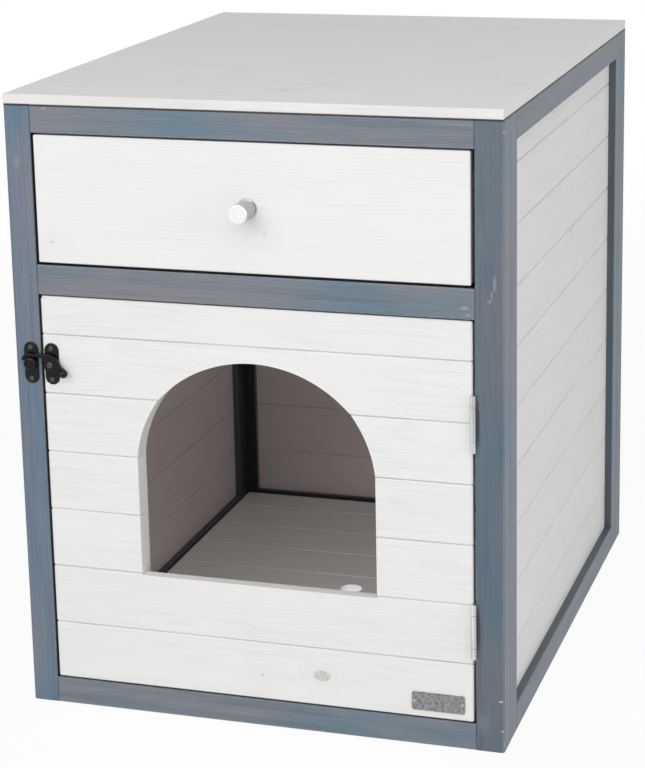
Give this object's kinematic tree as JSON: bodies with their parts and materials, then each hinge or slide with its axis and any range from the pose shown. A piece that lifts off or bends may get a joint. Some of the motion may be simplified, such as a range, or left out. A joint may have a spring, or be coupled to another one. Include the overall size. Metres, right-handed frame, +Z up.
{
  "type": "cat house",
  "caption": "Boarded wooden cat house with an arched way in through a hinged door, a drawer above, a flat top and a lift-out floor.",
  "frame": {"origin": "on the ground, below the middle of the object's whole box", "axes": "+Z up, the door and drawer face -Y, +X to the right of someone facing the door"},
  "size_m": [0.45, 0.596, 0.572],
  "materials": {
    "frame_stain": "blue-grey stain",
    "board_wash": "white wash",
    "inner_wood": "bare softwood",
    "knob_chrome": "polished",
    "hinge_steel": "zinc plated",
    "latch_black": "black satin",
    "plate_metal": "brushed",
    "screw_steel": "zinc plated"
  },
  "bodies": {
    "carcass": {"front_stile_left": "frame_stain", "front_stile_right": "frame_stain", "front_top_rail": "frame_stain", "front_mid_rail": "frame_stain", "front_bottom_rail": "frame_stain", "side_front_stile_left": "frame_stain", "side_rear_stile_left": "frame_stain", "side_top_rail_left": "frame_stain", "side_bottom_rail_left": "frame_stain", "side_boards_left": "board_wash", "side_front_stile_right": "frame_stain", "side_rear_stile_right": "frame_stain", "side_top_rail_right": "frame_stain", "side_bottom_rail_right": "frame_stain", "side_boards_right": "board_wash", "back_stile_left": "frame_stain", "back_stile_right": "frame_stain", "back_top_rail": "frame_stain", "back_bottom_rail": "frame_stain", "back_boards": "board_wash", "top_board": "board_wash", "frame_screws": "screw_steel", "floor_cleats": "frame_stain", "drawer_runners": "frame_stain", "drawer_kickers": "frame_stain", "upper_hinge_frame_leaf": "hinge_steel", "lower_hinge_frame_leaf": "hinge_steel", "hinge_pins": "hinge_steel", "hinge_frame_screws": "hinge_steel", "latch_keeper": "latch_black", "latch_keeper_screws": "latch_black"},
    "floor": {"floor_boards": "board_wash", "floor_battens": "board_wash"},
    "drawer": {"drawer_front": "board_wash", "drawer_side_left": "inner_wood", "drawer_side_right": "inner_wood", "drawer_back": "inner_wood", "drawer_bottom": "inner_wood", "drawer_dowels": "inner_wood", "drawer_knob": "knob_chrome", "drawer_knob_screw": "screw_steel"},
    "door": {"door_board_1": "board_wash", "door_board_2": "board_wash", "door_board_3": "board_wash", "door_board_4": "board_wash", "door_board_5": "board_wash", "door_board_6": "board_wash", "door_board_7": "board_wash", "door_batten_left": "board_wash", "door_batten_right": "board_wash", "door_batten_screws": "screw_steel", "upper_hinge_door_leaf": "hinge_steel", "lower_hinge_door_leaf": "hinge_steel", "hinge_door_screws": "hinge_steel", "door_plate": "plate_metal", "door_plate_pins": "plate_metal", "latch_base": "latch_black", "latch_base_screws": "latch_black", "latch_rivet": "latch_black"},
    "latch_arm": {"latch_arm": "latch_black"}
  },
  "joints": [
    {"name": "door_hinge", "type": "hinge", "parent": "carcass", "child": "door", "pos_m": [0.19875, -0.27475, 0.207], "axis": [0, 0, 1], "range_deg": [0, 175]},
    {"name": "drawer_slide", "type": "slide", "parent": "carcass", "child": "drawer", "axis": [0, -1, 0], "range_m": [0, 0.36]},
    {"name": "floor_lift", "type": "slide", "parent": "carcass", "child": "floor", "axis": [0, 0, 1], "range_m": [0, 0.06]},
    {"name": "latch_swing", "type": "hinge", "parent": "door", "child": "latch_arm", "pos_m": [-0.1895, -0.276, 0.3282], "axis": [0, 1, 0], "range_deg": [0, 80]}
  ]
}
